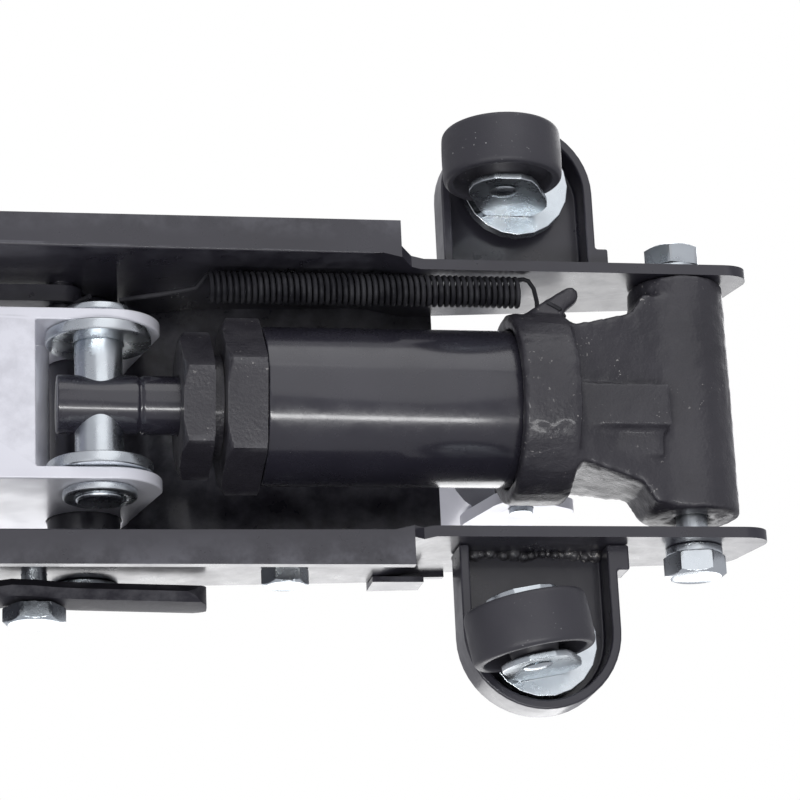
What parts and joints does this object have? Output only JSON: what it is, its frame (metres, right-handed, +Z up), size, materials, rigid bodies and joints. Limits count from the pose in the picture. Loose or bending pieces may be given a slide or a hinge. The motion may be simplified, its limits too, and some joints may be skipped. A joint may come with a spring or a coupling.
{
  "type": "hydraulic floor jack",
  "caption": "Low trolley jack with a pressed steel frame, lift arm, levelled saddle, hydraulic ram and pump, handle socket, front wheels and swivelling rear casters.",
  "frame": {"origin": "on the floor, under the middle of the jack's box, with the arm lowered", "axes": "+X to the front, where the saddle and the big wheels are, +Y to the jack's left side, +Z up"},
  "size_m": [0.4575, 0.1956, 0.156],
  "materials": {
    "frame_paint": "gloss black paint on pressed steel",
    "unit_paint": "gloss black paint on tube and rod",
    "casting_paint": "black paint over a rough casting",
    "arm_paint": "light silver paint",
    "zinc": "bright zinc plate",
    "steel": "oiled turned steel",
    "spring_steel": "black spring wire",
    "wheel_plastic": "dark grey moulded nylon"
  },
  "bodies": {
    "frame": {"arm_pivot_clip": "zinc", "arm_pivot_shaft": "zinc", "axle_nut_left": "zinc", "axle_nut_right": "zinc", "carry_bolt_front": "zinc", "carry_bolt_rear": "zinc", "carry_handle": "frame_paint", "caster_bracket_left": "frame_paint", "caster_bracket_right": "frame_paint", "caster_stud_left": "zinc", "caster_stud_right": "zinc", "cover_bolt": "zinc", "front_axle": "zinc", "front_cross_tube": "frame_paint", "pivot_sleeve": "frame_paint", "rear_bolt_left": "zinc", "rear_bolt_right": "zinc", "rear_spring_washer_left": "zinc", "rear_spring_washer_right": "zinc", "side_plate_left": "frame_paint", "side_plate_right": "frame_paint", "top_cover": "frame_paint"},
    "lift_arm": {"lift_arm": "arm_paint"},
    "saddle_bracket": {"link_front_pin": "zinc", "saddle_bracket": "frame_paint", "saddle_pin": "zinc"},
    "saddle": {"saddle": "casting_paint"},
    "levelling_link": {"levelling_link": "frame_paint"},
    "hydraulic_unit": {"base_casting": "casting_paint", "filler_plug": "wheel_plastic", "gland_nut": "casting_paint", "inner_cylinder": "steel", "pump_cylinder": "steel", "pump_spring": "spring_steel", "reservoir_nut": "casting_paint", "reservoir_tube": "unit_paint", "return_spring": "spring_steel"},
    "ram": {"ram_clip_left": "zinc", "ram_clip_right": "zinc", "ram_pin": "zinc", "ram_piston": "steel", "ram_rod": "unit_paint", "ram_washer_left": "zinc", "ram_washer_right": "zinc"},
    "handle_socket": {"handle_socket": "arm_paint", "socket_pin": "zinc", "socket_screw": "zinc"},
    "pump_piston": {"pump_piston": "steel"},
    "pump_roller": {"pump_roller": "steel"},
    "release_valve": {"release_valve": "steel"},
    "front_wheel_left": {"front_wheel_left": "frame_paint"},
    "front_wheel_right": {"front_wheel_right": "frame_paint"},
    "caster_left": {"caster_axle_left": "zinc", "caster_fork_left": "zinc"},
    "caster_right": {"caster_axle_right": "zinc", "caster_fork_right": "zinc"},
    "caster_wheel_left": {"caster_wheel_left": "wheel_plastic"},
    "caster_wheel_right": {"caster_wheel_right": "wheel_plastic"}
  },
  "joints": [
    {"name": "lift", "type": "hinge", "parent": "frame", "child": "lift_arm", "pos_m": [-0.0165, 0, 0.0794], "axis": [0, -1, 0], "range_deg": [0, 50]},
    {"name": "unit_rock", "type": "hinge", "parent": "frame", "child": "hydraulic_unit", "pos_m": [-0.206, 0, 0.0435], "axis": [0, -1, 0], "range_deg": [0, 2.8]},
    {"name": "ram_slide", "type": "slide", "parent": "hydraulic_unit", "child": "ram", "axis": [1, 0, 0], "range_m": [0, 0.0282], "deforming": ["return_spring"]},
    {"name": "saddle_level", "type": "hinge", "parent": "lift_arm", "child": "saddle_bracket", "pos_m": [0.2055, 0, 0.084], "axis": [0, -1, 0], "range_deg": [-50.1, 0]},
    {"name": "saddle_swivel", "type": "hinge", "parent": "saddle_bracket", "child": "saddle", "pos_m": [0.2055, 0, 0.1], "axis": [0, 0, 1], "continuous": true},
    {"name": "link_swing", "type": "hinge", "parent": "frame", "child": "levelling_link", "pos_m": [-0.0085, 0, 0.0594], "axis": [0, -1, 0], "range_deg": [0, 50.1]},
    {"name": "socket_pump", "type": "hinge", "parent": "hydraulic_unit", "child": "handle_socket", "pos_m": [-0.162, 0, 0.092], "axis": [0, -1, 0], "range_deg": [0, 30]},
    {"name": "pump_stroke", "type": "slide", "parent": "hydraulic_unit", "child": "pump_piston", "axis": [0, 0, -1], "range_m": [0, 0.0073], "deforming": ["pump_spring"]},
    {"name": "roller_spin", "type": "hinge", "parent": "handle_socket", "child": "pump_roller", "pos_m": [-0.1751, 0, 0.097], "axis": [0, 1, 0], "continuous": true},
    {"name": "release_turn", "type": "hinge", "parent": "hydraulic_unit", "child": "release_valve", "pos_m": [-0.158, 0, 0.08], "axis": [0, 0, 1], "range_deg": [0, 180]},
    {"name": "front_wheel_left_spin", "type": "hinge", "parent": "frame", "child": "front_wheel_left", "pos_m": [0.197, 0, 0.0275], "axis": [0, 1, 0], "continuous": true},
    {"name": "front_wheel_right_spin", "type": "hinge", "parent": "frame", "child": "front_wheel_right", "pos_m": [0.197, 0, 0.0275], "axis": [0, 1, 0], "continuous": true},
    {"name": "caster_left_swivel", "type": "hinge", "parent": "frame", "child": "caster_left", "pos_m": [-0.1545, 0.076, 0.04], "axis": [0, 0, 1], "continuous": true},
    {"name": "caster_right_swivel", "type": "hinge", "parent": "frame", "child": "caster_right", "pos_m": [-0.1545, -0.076, 0.04], "axis": [0, 0, 1], "continuous": true},
    {"name": "caster_wheel_left_spin", "type": "hinge", "parent": "caster_left", "child": "caster_wheel_left", "pos_m": [-0.1455, 0.076, 0.019], "axis": [0, 1, 0], "continuous": true},
    {"name": "caster_wheel_right_spin", "type": "hinge", "parent": "caster_right", "child": "caster_wheel_right", "pos_m": [-0.14564, -0.07756, 0.019], "axis": [0.1736, 0.9848, 0], "continuous": true}
  ],
  "couplings": [
    {"joint": "unit_rock", "follows": "lift", "ratio": 0.055081},
    {"joint": "ram_slide", "follows": "lift", "m_per_rad": 0.032131},
    {"joint": "saddle_level", "follows": "lift", "ratio": -1},
    {"joint": "link_swing", "follows": "lift", "ratio": 1},
    {"joint": "pump_stroke", "follows": "socket_pump", "m_per_rad": 0.013688}
  ]
}
